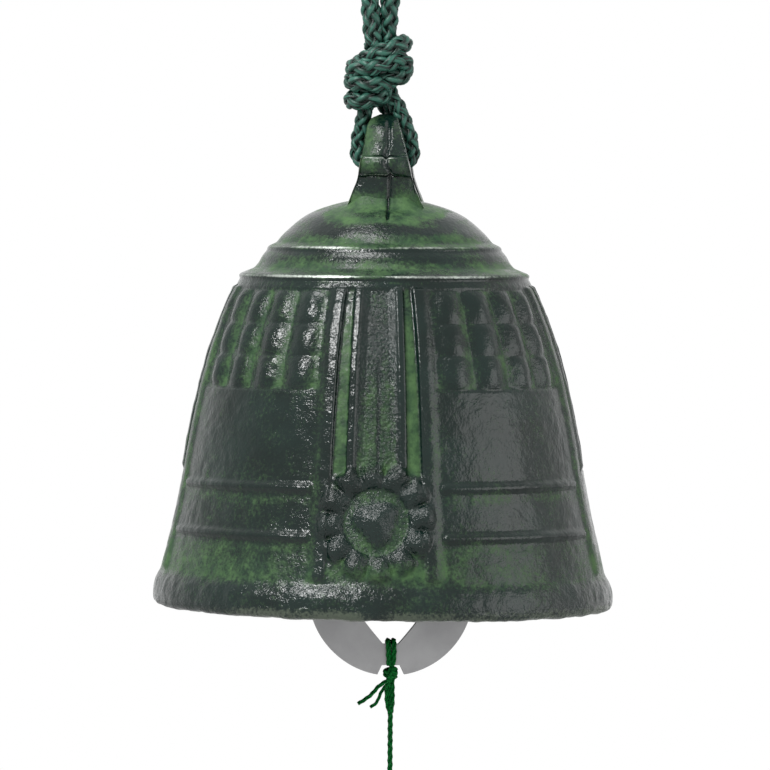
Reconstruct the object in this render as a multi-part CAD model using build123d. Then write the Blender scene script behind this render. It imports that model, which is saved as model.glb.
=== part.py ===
from build123d import *
import math
import os

# Furin wind bell: an iron bell on a knotted cord, a steel clapper plate on a thread and a paper wind strip.
# Millimetres. The origin is where a hook bears in the hanging loop, +Z is up and the medallion faces -Y.

# Hanging cord
cord_diameter = 2.8
loop_length = 35.0  # from the hook's bearing point to the top of the knot
knot_height = 11.3
knot_gap = 1.6  # between the knot and the crown
knot_turn_diameter = 5.3  # of a level turn of cord in the knot, at the middle of the cord
knot_turn_pitch = 2.4  # between two turns that lie on each other
knot_left_turns = 3
knot_left = 2.5  # from the bell's axis to the middle of the left turns
knot_right = 0.4  # from the bell's axis to the middle of the upper right turn
knot_bend_diameter = 3.0  # of the bend at the lower right, at the middle of the cord
knot_bend_right = 1.5  # from the bell's axis to the middle of the bend
knot_bend_front = 1.4
knot_bend_drop = 4.9  # from the top of the knot to the middle of the bend
knot_core_diameter = 4.0

# Bell casting: outline, with heights counted up from the rim
mouth_diameter = 75.0
body_height = 53.2  # to the edge of the lower shoulder step
wall_thickness = 3.2
rim_thickness = 3.4
roof_thickness = 4.0
lip_height = 5.7
lip_band = 3.2  # the lip's upright part
lip_proud = 1.3
rim_rounding = 0.8
lower_step_radius = 23.6
lower_ledge_width = 2.6
lower_ledge_rise = 1.8
step_spacing = 4.6  # from the lower step's edge up to the upper step's edge
upper_step_radius = 19.2
upper_ledge_width = 1.6
upper_ledge_rise = 1.4
dome_height = 7.0
# The dome above the upper step: share of its foot's radius, share of its height
dome_shares = ((0.9, 0.25), (0.693, 0.629), (0.4, 0.9))
# The flank between lip and lower step: share of the mouth's radius, share of the flank's height
flank_shares = ((0.924, 0.138), (0.877, 0.312), (0.83, 0.515), (0.768, 0.722), (0.697, 0.885))

# Bell casting: crown arch, with heights counted up from the top of the dome
crown_height = 13.6
crown_depth = 16.4  # from front to back
crown_foot_width = 12.6
crown_sink = 1.4  # how far its legs reach into the dome
eye_diameter = 8.4
eye_height = 4.0
eye_flare = 1.2
eye_throat = 4.0  # length of the eye's narrowest part
knuckle_diameter = 3.4
knuckle_height = 5.4
# The crown's side outline: share of half its foot width, share of its height with the sink
crown_side_shares = ((1.0, 0.0), (0.81, 0.16), (0.659, 0.347), (0.556, 0.533), (0.42, 0.76), (0.294, 0.953))

# Bell casting: relief
strip_count = 4
medallion_strips = (0, 2)
inner_ridge_angle = 7.5
outer_ridge_angle = 14.3
ridge_width = 1.3
ridge_proud = 0.5
relief_root = 1.2  # how far raised ornaments reach into the wall
inner_ridge_foot = 22.7
outer_ridge_foot = 6.3
ridge_top_gap = 0.6
boss_rows = 3
boss_columns = 4
boss_column_angle = 13.1
boss_row_pitch = 5.1
boss_top_gap = 4.1  # from the lower step's edge down to the first row
boss_diameter = 4.7
boss_rise = 1.1
band_heights = (12.9, 20.6)
band_diameter = 1.8
band_proud = 0.4
band_span = 57.0
medallion_height = 15.5
medallion_ring_radius = 7.2
petal_count = 12
petal_turn = -5.0  # degrees from the medallion's top to its first petal
petal_diameter = 3.6
petal_rise = 1.2
hub_diameter = 6.8
hub_rise = 1.6

# Clapper staple
staple_wire = 1.6
staple_span = 7.0
staple_drop = 6.0  # from the roof to the wire's underside
staple_root = 2.4
staple_offset = 1.35  # the staple and all that hangs on it stand this far to the right of the bell's axis

# Threads
thread_diameter = 0.8
thread_gap = 0.1
upper_knot_diameter = 2.2
tie_knot_diameter = 2.8
strip_knot_diameter = 2.2
wind_thread_length = 42.0  # from knot to knot
bundle_diameter = 1.4
bundle_length = 4.6
bend_share = 0.45  # of the shorter run beside a corner of a route, taken up by its bend

# Clapper plate
plate_diameter = 26.9
plate_thickness = 1.5
plate_height = 2.0  # its middle above the rim
plate_turn = 7.0  # degrees that it hangs turned about its thread
opening_width = 15.0
opening_height = 16.6
opening_tip_width = 2.5
# Where the opening's concave sides pass: share of half its width, share of half its height
opening_side_shares = (0.533, 0.602)
notch_depth = 1.7
notch_mouth_width = 4.6
notch_foot_width = 3.0
tie_gap = 0.15

# Wind strip
strip_width = 42.0
strip_length = 95.0
strip_thickness = 0.35
strip_hole_diameter = 3.0
strip_margin = 5.0  # from the top edge to the middle of the hole
strip_drop = 1.5  # from the knot to the top edge

# Levels and half sizes that several pieces share
cut_overrun = 1.0
mouth_radius = mouth_diameter / 2
cord_radius = cord_diameter / 2
thread_radius = thread_diameter / 2
plate_radius = plate_diameter / 2
upper_step_height = body_height + step_spacing
dome_foot_height = upper_step_height + upper_ledge_rise
dome_top_height = dome_foot_height + dome_height
crown_top_height = dome_top_height + crown_height
eye_centre_height = dome_top_height + eye_height
roof_height = dome_top_height - roof_thickness
knot_top = -loop_length
knot_bottom = knot_top - knot_height
rim_level = knot_bottom - knot_gap - crown_top_height
in_bell = Pos(0, 0, rim_level)
under_staple = Pos(staple_offset, 0, rim_level)
on_thread = under_staple * Rot(0, 0, plate_turn)

staple_wire_height = roof_height - staple_drop + staple_wire / 2
staple_ring_radius = staple_wire / 2 + thread_gap + thread_radius
upper_knot_height = (
    staple_wire_height - staple_ring_radius - thread_radius - thread_gap - upper_knot_diameter / 2
)
tie_knot_reach = plate_radius - notch_depth + thread_gap + tie_knot_diameter / 2
plate_knot_height = plate_height + tie_knot_reach
wind_knot_height = plate_height - tie_knot_reach
strip_knot_height = wind_knot_height - wind_thread_length
strip_top_height = strip_knot_height - strip_knot_diameter / 2 - strip_drop
strip_hole_height = strip_top_height - strip_margin


def outline(radius, height):
    """A point of the bell's outline."""
    return Vector(radius, 0, height)


def flank_points(inset):
    """The flank's outline from the lip's top to the lower step, drawn in by the inset."""
    flank_height = body_height - lip_height
    points = [outline(mouth_radius - lip_proud - inset, lip_height)]
    for radius_share, height_share in flank_shares:
        points.append(outline(mouth_radius * radius_share - inset, lip_height + flank_height * height_share))
    return points


flank = Spline(*flank_points(0), outline(lower_step_radius, body_height))


def flank_share_at(height):
    """How far along the flank a height lies, found by halving."""
    low, high = 0.0, 1.0
    for _ in range(40):
        middle = (low + high) / 2
        if flank.position_at(middle).Z < height:
            low = middle
        else:
            high = middle
    return (low + high) / 2


def on_flank(angle, height):
    """A plane on the bell's surface, facing outwards, at an angle from the front."""
    share = flank_share_at(height)
    point = flank.position_at(share)
    along = flank.tangent_at(share)
    plane = Plane(origin=point, x_dir=(0, 1, 0), z_dir=(along.Z, 0, -along.X))
    return Rot(0, 0, angle - 90) * Location(plane)


def bell_shell():
    lip = Polyline(
        outline(mouth_radius, rim_rounding),
        outline(mouth_radius, lip_band),
        outline(mouth_radius - lip_proud, lip_height),
    )
    rim = Line(outline(mouth_radius - rim_thickness, 0), outline(mouth_radius - rim_rounding, 0))
    rim_round = TangentArc(rim @ 1, lip @ 0, tangent=(1, 0, 0))
    shoulder = Polyline(
        outline(lower_step_radius, body_height),
        outline(lower_step_radius - lower_ledge_width, body_height + lower_ledge_rise),
        outline(upper_step_radius, upper_step_height),
        outline(upper_step_radius - upper_ledge_width, dome_foot_height),
    )
    dome_foot_radius = upper_step_radius - upper_ledge_width
    dome_points = [
        outline(dome_foot_radius * radius_share, dome_foot_height + dome_height * height_share)
        for radius_share, height_share in dome_shares
    ]
    dome = Spline(shoulder @ 1, *dome_points, outline(0, dome_top_height), tangents=((-1, 0, 1), (-1, 0, 0)))
    inner_flank = Spline(
        rim @ 0,
        *flank_points(wall_thickness),
        outline(lower_step_radius - wall_thickness, body_height - lower_ledge_rise),
    )
    ceiling = Spline(inner_flank @ 1, outline(0, roof_height), tangents=(inner_flank % 1, (-1, 0, 0)))
    axis = Line(ceiling @ 1, dome @ 1)
    profile = make_face([rim, rim_round, lip, flank, shoulder, dome, axis, ceiling, inner_flank])
    return revolve(profile, Axis.Z)


def crown_arch():
    full_height = crown_height + crown_sink
    foot_level = dome_top_height - crown_sink
    right = [
        outline(crown_foot_width / 2 * width_share, foot_level + full_height * height_share)
        for width_share, height_share in crown_side_shares
    ]
    left = [outline(-point.X, point.Z) for point in right]
    side_view = make_face(
        [
            Spline(*right),
            ThreePointArc(right[-1], outline(0, crown_top_height), left[-1]),
            Spline(*left),
            Line(left[0], right[0]),
        ]
    )
    side_block = extrude(side_view, crown_depth, both=True)

    middle = Pos(0, eye_centre_height)
    leg_height = eye_centre_height - foot_level
    front_view = middle * Ellipse(crown_depth / 2, crown_top_height - eye_centre_height)
    front_view += Pos(0, foot_level + leg_height / 2) * Rectangle(crown_depth, leg_height)
    for side in (-1, 1):
        knuckle_place = Pos(side * crown_depth / 2, dome_top_height + knuckle_height)
        front_view += knuckle_place * Circle(knuckle_diameter / 2)
    arch_block = extrude(Plane.YZ * front_view, crown_foot_width, both=True)

    eye_place = Pos(0, 0, eye_centre_height) * Rot(0, 90, 0)
    eye_radius = eye_diameter / 2
    eye = eye_place * Cylinder(eye_radius, crown_foot_width)
    for side in (-1, 1):
        mouth = Pos(0, 0, side * (eye_throat + eye_flare) / 2)
        radii = (eye_radius, eye_radius + eye_flare)
        low, high = radii if side > 0 else reversed(radii)
        eye += eye_place * mouth * Cone(low, high, eye_flare)
        beyond = Pos(0, 0, side * (eye_throat / 2 + eye_flare + crown_foot_width / 2))
        eye += eye_place * beyond * Cylinder(eye_radius + eye_flare, crown_foot_width)
    return (side_block & arch_block) - eye


def raised_cap(diameter, rise):
    """A round raised ornament with a domed top, and a root that reaches into the wall."""
    radius = diameter / 2
    side = Polyline((0, 0, -relief_root), (radius, 0, -relief_root), (radius, 0, 0))
    sphere_radius = (radius**2 + rise**2) / (2 * rise)
    middle = outline(radius / 2, rise - sphere_radius + math.sqrt(sphere_radius**2 - (radius / 2) ** 2))
    dome = ThreePointArc(side @ 1, middle, outline(0, rise))
    return revolve(make_face([side, dome, Line(dome @ 1, side @ 0)]), Axis.Z)


def upright_ridge(angle, foot_height):
    """A thin raised line up the bell's flank."""
    steps = 6
    top_height = body_height - ridge_top_gap
    heights = [foot_height + (top_height - foot_height) * step / steps for step in range(steps + 1)]
    radii = [flank.position_at(flank_share_at(height)).X for height in heights]
    outer = Spline(*[outline(r + ridge_proud, h) for r, h in zip(radii, heights)])
    inner = Spline(*[outline(r - relief_root, h) for r, h in zip(radii, heights)])
    face = make_face([outer, inner, Line(outer @ 0, inner @ 0), Line(outer @ 1, inner @ 1)])
    return Rot(0, 0, angle - 90) * extrude(face, ridge_width / 2, both=True)


def level_band(angle, height):
    """A raised line along one panel, centred on an angle."""
    radius = flank.position_at(flank_share_at(height)).X + band_proud - band_diameter / 2
    section = Plane(origin=outline(radius, height), z_dir=(0, 1, 0)) * Circle(band_diameter / 2)
    return Rot(0, 0, angle - 90 - band_span / 2) * revolve(section, Axis.Z, revolution_arc=band_span)


def panel_ornaments(angle):
    """The bosses and bands of the panel between two strips."""
    pieces = []
    for row in range(boss_rows):
        height = body_height - boss_top_gap - row * boss_row_pitch
        for column in range(boss_columns):
            turn = (column - (boss_columns - 1) / 2) * boss_column_angle
            pieces.append(on_flank(angle + turn, height) * raised_cap(boss_diameter, boss_rise))
    for height in band_heights:
        pieces.append(level_band(angle, height))
    return pieces


def strip_ornaments(angle, with_medallion):
    """The ridges of one upright strip and, at front and back, its lotus medallion."""
    pieces = []
    for side in (-1, 1):
        pieces.append(upright_ridge(angle + side * inner_ridge_angle, inner_ridge_foot))
        pieces.append(upright_ridge(angle + side * outer_ridge_angle, outer_ridge_foot))
    if with_medallion:
        pieces.append(on_flank(angle, medallion_height) * raised_cap(hub_diameter, hub_rise))
        radius = flank.position_at(flank_share_at(medallion_height)).X
        for petal in range(petal_count):
            around = math.radians(petal_turn + 360 * petal / petal_count)
            turn = math.degrees(medallion_ring_radius * math.sin(around) / radius)
            height = medallion_height + medallion_ring_radius * math.cos(around)
            pieces.append(on_flank(angle + turn, height) * raised_cap(petal_diameter, petal_rise))
    return pieces


def staple_shape():
    """A wire bent to a U, with legs that reach into the roof."""
    leg_top = roof_height + staple_root
    half_span = staple_span / 2
    right_leg = Line(outline(half_span, leg_top), outline(half_span, staple_wire_height + half_span))
    bend = ThreePointArc(
        right_leg @ 1, outline(0, staple_wire_height), outline(-half_span, staple_wire_height + half_span)
    )
    left_leg = Line(bend @ 1, outline(-half_span, leg_top))
    path = Wire([right_leg, bend, left_leg])
    return sweep(Plane(path @ 0, z_dir=path % 0) * Circle(staple_wire / 2), path=path)


def route_radii(points):
    """The largest bends that the runs of a cord's route allow."""
    corners = zip(points, points[1:], points[2:])
    radii = []
    for before, corner, after in corners:
        run_in, run_out = corner - before, after - corner
        half_turn = math.radians(run_in.get_angle(run_out) / 2)
        radii.append(bend_share * min(run_in.length, run_out.length) / math.tan(half_turn))
    return radii


def cord_tube(name, route, diameter):
    """A round cord along a route of straight runs joined by bends, with its bends and volume printed."""
    points = [Vector(*point) for point in route]
    radii = route_radii(points)
    path = FilletPolyline(*points, radius=radii)
    tube = sweep(Plane(path @ 0, z_dir=path % 0) * Circle(diameter / 2), path=path)
    expected = math.pi * diameter**2 / 4 * path.length
    print(name, "bend radii", [round(radius, 2) for radius in radii], "length", round(path.length, 2))
    print(name, "volume", round(tube.volume, 3), "section times length", round(expected, 3))
    return tube


def upright_rod(diameter, low, high):
    """A round rod between two heights."""
    return Pos(0, 0, (low + high) / 2) * Cylinder(diameter / 2, high - low)


def knot_shape():
    """The overhand knot: level turns at the left and upper right and an upright bend at the right, round a core."""
    turn = Torus(knot_turn_diameter / 2, cord_radius)
    pieces = []
    for number in range(knot_left_turns):
        pieces.append(Pos(-knot_left, 0, knot_bottom + cord_radius + number * knot_turn_pitch) * turn)
    pieces.append(Pos(knot_right, 0, knot_top - cord_radius) * turn)
    bend_place = Pos(knot_bend_right, -knot_bend_front, knot_top - knot_bend_drop)
    pieces.append(bend_place * Rot(90, 0, 0) * Torus(knot_bend_diameter / 2, cord_radius))
    core_middle = (knot_right - knot_left) / 2
    core = Pos(core_middle, 0, 0) * upright_rod(
        knot_core_diameter, knot_bottom + cord_radius, knot_top - cord_radius
    )
    return core + pieces


def plate_shape():
    """The clapper plate, a disc with a star-shaped opening, two notches and a bar between them at each end."""
    tip, width, height = opening_tip_width / 2, opening_width / 2, opening_height / 2
    waist_x, waist_y = width * opening_side_shares[0], height * opening_side_shares[1]
    corner = {}
    edges = []
    for side in (-1, 1):
        for end in (-1, 1):
            corner[side, end] = (side * tip, end * height)
            edges.append(
                ThreePointArc(corner[side, end], (side * waist_x, end * waist_y), (side * width, 0))
            )
    for end in (-1, 1):
        edges.append(Line(corner[-1, end], corner[1, end]))
    face = Circle(plate_radius) - make_face(edges)
    mouth, foot = notch_mouth_width / 2, notch_foot_width / 2
    low, high = plate_radius - notch_depth, plate_radius + cut_overrun
    spread = mouth + (mouth - foot) * cut_overrun / notch_depth
    notch = make_face(Polyline((-foot, low), (foot, low), (spread, high), (-spread, high), close=True))
    face = face - notch - mirror(notch, Plane.XZ)
    return Pos(0, 0, plate_height) * extrude(Plane.XZ * face, plate_thickness / 2, both=True)


def tie_arch(name, half_width, bar_level, end_level):
    """A thread laid round an edge, with both its ends going the same way to a knot."""
    route = [
        (0, -half_width, end_level),
        (0, -half_width, bar_level),
        (0, half_width, bar_level),
        (0, half_width, end_level),
    ]
    return cord_tube(name, route, thread_diameter)


# Routes of the cord and of the thread's cut tails, with points chosen by hand
loop_route = [
    (-2.1, 0, -36.5),
    (-2.0, 0, -28.0),
    (-2.9, 0, -19.5),
    (-5.4, 0, -11.0),
    (-5.4, 0, 1.4),
    (5.4, 0, 1.4),
    (5.4, 0, -11.0),
    (2.4, 0, -19.5),
    (1.3, 0, -28.0),
    (1.25, 0, -36.5),
]
bight_route = [
    (-3.1, 0, -43.5),
    (-4.5, 0, -48.4),
    (-4.5, 0, -55.0),
    (4.5, 0, -55.0),
    (4.5, 0, -48.4),
    (3.0, 0, -45.5),
    (0.9, 0, -43.2),
]
# The tails' points are counted from the middle of the knot above them
tail_routes = (
    [(-0.3, -0.4, -2.0), (-1.6, -0.7, -2.7), (-3.2, -0.5, -4.0), (-5.2, -0.6, -5.0)],
    [(-0.2, 0.4, -2.2), (-1.0, 0.6, -3.1), (-1.9, 0.5, -4.6), (-3.3, 0.4, -5.7)],
)

# Pieces
nodes = {}

staple = Pos(staple_offset, 0, 0) * staple_shape()
ornaments = []
for strip in range(strip_count):
    strip_angle = strip * 360 / strip_count
    ornaments += strip_ornaments(strip_angle, strip in medallion_strips)
    ornaments += panel_ornaments(strip_angle + 180 / strip_count)
casting = bell_shell() + [crown_arch(), *ornaments]
nodes["bell_casting"] = in_bell * (casting - staple)
nodes["clapper_staple"] = in_bell * staple

nodes["hanging_loop"] = cord_tube("hanging_loop", loop_route, cord_diameter)
nodes["crown_bight"] = cord_tube("crown_bight", bight_route, cord_diameter)
nodes["crown_knot"] = knot_shape()

staple_ring = Rot(0, 90, 0) * Torus(staple_ring_radius, thread_radius)
nodes["staple_loop"] = under_staple * Pos(0, 0, staple_wire_height) * staple_ring
nodes["upper_knot"] = under_staple * Pos(0, 0, upper_knot_height) * Sphere(upper_knot_diameter / 2)
strand_low = plate_knot_height + tie_knot_diameter / 2 + thread_gap
strand_high = upper_knot_height - upper_knot_diameter / 2 - thread_gap
nodes["clapper_thread"] = under_staple * upright_rod(thread_diameter, strand_low, strand_high)

nodes["clapper_plate"] = on_thread * plate_shape()
plate_tie_width = plate_thickness / 2 + tie_gap + thread_radius
bar_reach = opening_height / 2 - tie_gap - thread_radius
plate_tie = tie_arch("plate_tie", plate_tie_width, plate_height + bar_reach, plate_knot_height)
plate_knot = Pos(0, 0, plate_knot_height) * Sphere(tie_knot_diameter / 2)
nodes["plate_tie"] = on_thread * (plate_knot + plate_tie)
wind_tie_end = wind_knot_height + tie_knot_diameter / 2 + thread_gap
nodes["wind_tie"] = on_thread * tie_arch("wind_tie", plate_tie_width, plate_height - bar_reach, wind_tie_end)

nodes["wind_knot"] = under_staple * Pos(0, 0, wind_knot_height) * Sphere(tie_knot_diameter / 2)
bundle_top = wind_knot_height - tie_knot_diameter / 2 - thread_gap
wind_thread_low = strip_knot_height + strip_knot_diameter / 2 + thread_gap
wind_thread = upright_rod(thread_diameter, wind_thread_low, bundle_top)
wind_thread += upright_rod(bundle_diameter, bundle_top - bundle_length, bundle_top)
for tail_route in tail_routes:
    wind_thread += Pos(0, 0, wind_knot_height) * cord_tube("wind_thread tail", tail_route, thread_diameter)
nodes["wind_thread"] = under_staple * wind_thread

nodes["strip_knot"] = under_staple * Pos(0, 0, strip_knot_height) * Sphere(strip_knot_diameter / 2)
strip_tie_width = strip_thickness / 2 + tie_gap + thread_radius
strip_tie_low = strip_hole_height + strip_hole_diameter / 2 - tie_gap - thread_radius
strip_tie_end = strip_knot_height - strip_knot_diameter / 2 - thread_gap
nodes["strip_tie"] = under_staple * tie_arch("strip_tie", strip_tie_width, strip_tie_low, strip_tie_end)
strip_face = Pos(0, strip_top_height - strip_length / 2) * Rectangle(strip_width, strip_length)
strip_face -= Pos(0, strip_hole_height) * Circle(strip_hole_diameter / 2)
nodes["wind_strip"] = under_staple * extrude(Plane.XZ * strip_face, strip_thickness / 2, both=True)

os.makedirs("parts", exist_ok=True)
for name, shape in nodes.items():
    export_step(shape, f"parts/{name}.step")

print("levels from the origin, in millimetres")
for name, height in (
    ("rim", 0),
    ("crown eye", eye_centre_height),
    ("upper knot", upper_knot_height),
    ("plate knot", plate_knot_height),
    ("wind knot", wind_knot_height),
    ("strip knot", strip_knot_height),
):
    print(name, round(rim_level + height, 3))
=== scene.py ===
import math

import bmesh
import bpy
import numpy as np
from mathutils import Matrix, Vector


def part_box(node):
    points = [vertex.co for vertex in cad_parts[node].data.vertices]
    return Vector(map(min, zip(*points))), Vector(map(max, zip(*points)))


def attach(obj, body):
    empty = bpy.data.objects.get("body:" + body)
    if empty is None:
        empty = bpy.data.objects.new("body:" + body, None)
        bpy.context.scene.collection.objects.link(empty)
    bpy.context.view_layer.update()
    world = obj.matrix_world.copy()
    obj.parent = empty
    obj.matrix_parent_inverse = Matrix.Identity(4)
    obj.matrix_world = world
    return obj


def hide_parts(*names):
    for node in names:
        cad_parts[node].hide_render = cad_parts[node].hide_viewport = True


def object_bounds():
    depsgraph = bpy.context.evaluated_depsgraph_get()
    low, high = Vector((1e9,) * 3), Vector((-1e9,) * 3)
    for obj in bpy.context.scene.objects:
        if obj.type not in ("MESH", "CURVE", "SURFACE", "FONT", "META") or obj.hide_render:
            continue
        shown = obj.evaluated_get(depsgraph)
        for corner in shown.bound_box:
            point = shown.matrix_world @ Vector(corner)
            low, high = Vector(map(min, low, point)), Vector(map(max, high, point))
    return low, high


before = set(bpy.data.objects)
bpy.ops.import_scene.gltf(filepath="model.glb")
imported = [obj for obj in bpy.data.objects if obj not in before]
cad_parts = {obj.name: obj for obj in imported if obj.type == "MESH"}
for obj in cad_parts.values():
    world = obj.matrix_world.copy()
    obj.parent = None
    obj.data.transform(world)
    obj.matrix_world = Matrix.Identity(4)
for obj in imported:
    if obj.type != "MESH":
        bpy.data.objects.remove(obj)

# Furin wind bell, dressed: relief bell, braided cord, twisted threads, steel clapper and paper strip.
# Lengths are metres in the part's frame; sizes of the bell's outline and relief are millimetres above its rim.
MM = 0.001
cad_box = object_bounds()
rim_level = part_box("bell_casting")[0].z
hang_x = (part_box("clapper_plate")[0].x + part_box("clapper_plate")[1].x) / 2

# Camera, as the photograph was taken
photo_size = 770
focal_pixels = 6135.0
sensor_width = 36.0
camera_distance = 1.0
camera_azimuth = math.radians(1.9)
camera_height = rim_level + 69.5 * MM
camera_pitch = math.radians(1.92)
camera_roll = math.radians(0.3)
camera_aim = math.radians(-0.012)


def add_camera():
    data = bpy.data.cameras.new("camera")
    data.sensor_width = sensor_width
    data.lens = sensor_width * focal_pixels / photo_size
    camera = bpy.data.objects.new("camera", data)
    bpy.context.scene.collection.objects.link(camera)
    place = Matrix.Translation(
        (camera_distance * math.sin(camera_azimuth), -camera_distance * math.cos(camera_azimuth), camera_height)
    )
    turn = Matrix.Rotation(camera_azimuth + camera_aim, 4, "Z") @ Matrix.Rotation(math.pi / 2 - camera_pitch, 4, "X")
    camera.matrix_world = place @ turn @ Matrix.Rotation(camera_roll, 4, "Z")
    bpy.context.scene.camera = camera


# Helpers for meshes


def add_mesh(name, points, faces, material, body, smooth=True):
    """A mesh object in the frame, which rides on a body."""
    mesh = bpy.data.meshes.new(name)
    mesh.from_pydata([tuple(point) for point in points], [], [tuple(face) for face in faces])
    mesh.update()
    if smooth:
        mesh.shade_smooth()
    piece = bpy.data.objects.new(name, mesh)
    bpy.context.scene.collection.objects.link(piece)
    mesh.materials.append(material)
    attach(piece, body)
    return piece


def set_attribute(piece, name, values):
    attribute = piece.data.attributes.new(name, "FLOAT", "POINT")
    attribute.data.foreach_set("value", np.asarray(values, np.float32).ravel())


def lattice_noise(points, cell, seed):
    """Smooth noise from -1 to 1 at points, with features about one cell wide."""
    scaled = np.asarray(points) / cell
    base = np.floor(scaled).astype(np.int64)
    part = scaled - base
    part = part * part * (3 - 2 * part)
    total = np.zeros(len(scaled))
    for corner in np.ndindex(2, 2, 2):
        index = base + np.array(corner)
        mixed = (index[:, 0] * 73856093) ^ (index[:, 1] * 19349663) ^ (index[:, 2] * 83492791) ^ (seed * 2654435)
        mixed = (mixed ^ (mixed >> 13)) * 1274126177
        value = ((mixed ^ (mixed >> 16)) & 65535) / 32767.5 - 1
        share = np.prod(np.where(np.array(corner) == 1, part, 1 - part), axis=1)
        total += share * value
    return total


def ease(values, low, high):
    """0 below low, 1 above high and a smooth step between them."""
    share = np.clip((values - low) / (high - low), 0, 1)
    return share * share * (3 - 2 * share)


def along_line(points):
    """Tangents and two cross directions along a line, turned as little as possible."""
    points = np.asarray(points, float)
    tangents = np.gradient(points, axis=0)
    tangents /= np.linalg.norm(tangents, axis=1)[:, None]
    start = np.array((0.0, -1.0, 0.0)) if abs(tangents[0][1]) < 0.9 else np.array((1.0, 0.0, 0.0))
    firsts = []
    for tangent in tangents:
        start = start - tangent * start.dot(tangent)
        start = start / np.linalg.norm(start)
        firsts.append(start)
    firsts = np.array(firsts)
    return tangents, firsts, np.cross(tangents, firsts)


def resampled(points, step):
    """Points at even steps along a line."""
    points = np.asarray(points, float)
    lengths = np.concatenate([[0], np.cumsum(np.linalg.norm(np.diff(points, axis=0), axis=1))])
    count = max(int(round(lengths[-1] / step)), 2)
    places = np.linspace(0, lengths[-1], count + 1)
    return np.stack([np.interp(places, lengths, points[:, axis]) for axis in range(3)], axis=1), places


def swept(centres, outward, width, thickness, sides):
    """Points and faces of a flattened tube; outward is the direction of its thin side."""
    tangents = np.gradient(centres, axis=0)
    tangents /= np.linalg.norm(tangents, axis=1)[:, None]
    sideways = np.cross(tangents, outward)
    sideways /= np.linalg.norm(sideways, axis=1)[:, None]
    upward = np.cross(sideways, tangents)
    turns = np.linspace(0, 2 * math.pi, sides, endpoint=False)
    rings = (
        centres[:, None, :]
        + upward[:, None, :] * (np.cos(turns) * thickness / 2)[None, :, None]
        + sideways[:, None, :] * (np.sin(turns) * width / 2)[None, :, None]
    )
    count = len(centres)
    faces = []
    for ring in range(count - 1):
        for side in range(sides):
            after = (side + 1) % sides
            low, high = ring * sides, (ring + 1) * sides
            faces.append((low + side, low + after, high + after, high + side))
    faces.append(tuple(range(sides - 1, -1, -1)))
    faces.append(tuple((count - 1) * sides + side for side in range(sides)))
    return rings.reshape(-1, 3), faces


def joined(parts):
    """Several lists of points and faces as one."""
    points, faces, offset = [], [], 0
    for part_points, part_faces in parts:
        points.append(part_points)
        faces += [tuple(index + offset for index in face) for face in part_faces]
        offset += len(part_points)
    return np.concatenate(points), faces


def route_line(name, route, closed=False):
    """The points of a smooth spline through a cord's route, given in millimetres."""
    curve = bpy.data.curves.new(name, "CURVE")
    curve.dimensions = "3D"
    curve.resolution_u = 24
    spline = curve.splines.new("NURBS")
    spline.points.add(len(route) - 1)
    for point, place in zip(spline.points, route):
        point.co = (place[0] * MM, place[1] * MM, place[2] * MM, 1)
    spline.order_u = 3
    spline.use_endpoint_u = not closed
    spline.use_cyclic_u = closed
    holder = bpy.data.objects.new(name, curve)
    mesh = bpy.data.meshes.new_from_object(holder)
    points = np.array([vertex.co[:] for vertex in mesh.vertices])
    bpy.data.objects.remove(holder)
    bpy.data.meshes.remove(mesh)
    bpy.data.curves.remove(curve)
    return points


# Cord and threads
braid_strands = 8
braid_pitch = 11.5 * MM
braid_radius = 0.98 * MM
braid_wave = 0.24 * MM
strand_width = 1.08 * MM
strand_thickness = 0.74 * MM
braid_sides = 12
core_radius = 0.85 * MM
fibre_seed = 5
loop_scale = 1.06
bight_scale = 0.92
braid_step = 0.3 * MM
thread_diameter = 0.8 * MM
ply_diameter = 0.48 * MM
lay_radius = 0.22 * MM
thread_pitch = 3.9 * MM
thread_step = 0.12 * MM


def braided(line, scale=1.0):
    """Strands that go round a line both ways and pass over and under each other."""
    points, places = resampled(line, braid_step)
    _, first, second = along_line(points)
    half = braid_strands // 2
    parts = []
    for strand in range(braid_strands):
        way = 1 if strand < half else -1
        angle = way * 2 * math.pi * places / (braid_pitch * scale) + 2 * math.pi * (strand % half) / half
        outward = np.cos(angle)[:, None] * first + np.sin(angle)[:, None] * second
        radius = (braid_radius + way * braid_wave * np.cos(half * angle)) * scale
        centres = points + outward * radius[:, None]
        parts.append(swept(centres, outward, strand_width * scale, strand_thickness * scale, braid_sides))
    core_width = 2 * core_radius * scale
    parts.append(swept(points, first, core_width, core_width, braid_sides))
    return joined(parts)


def braid_fibre_shade(line, scale=1.0):
    """How far out each point of a braid lies, from 0 where a strand dives to 1 on the crests, with random fibre
    streaks; used as painted shade in the dives and on the strands' inner sides.
    """
    _, places = resampled(line, braid_step)
    half = braid_strands // 2
    around = np.cos(np.linspace(0, 2 * math.pi, braid_sides, endpoint=False))
    fibres = np.random.default_rng(fibre_seed).uniform(-0.42, 0.42, (braid_strands, braid_sides))
    depths = []
    for strand in range(braid_strands):
        way = 1 if strand < half else -1
        angle = way * 2 * math.pi * places / (braid_pitch * scale) + 2 * math.pi * (strand % half) / half
        crest = way * np.cos(half * angle)
        depths.append((0.5 + 0.3 * crest[:, None] + 0.2 * around[None, :] + fibres[strand]).ravel())
    depths.append(np.zeros(len(places) * braid_sides))
    return np.concatenate(depths)


def twisted(line, scale=1.0, plies=3):
    """Plies laid round a line."""
    points, places = resampled(line, thread_step)
    _, first, second = along_line(points)
    parts = []
    for ply in range(plies):
        angle = 2 * math.pi * places / thread_pitch + 2 * math.pi * ply / plies
        outward = np.cos(angle)[:, None] * first + np.sin(angle)[:, None] * second
        width = ply_diameter * scale
        parts.append(swept(points + outward * lay_radius * scale, outward, width, width, 6))
    return joined(parts)


# Materials


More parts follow.
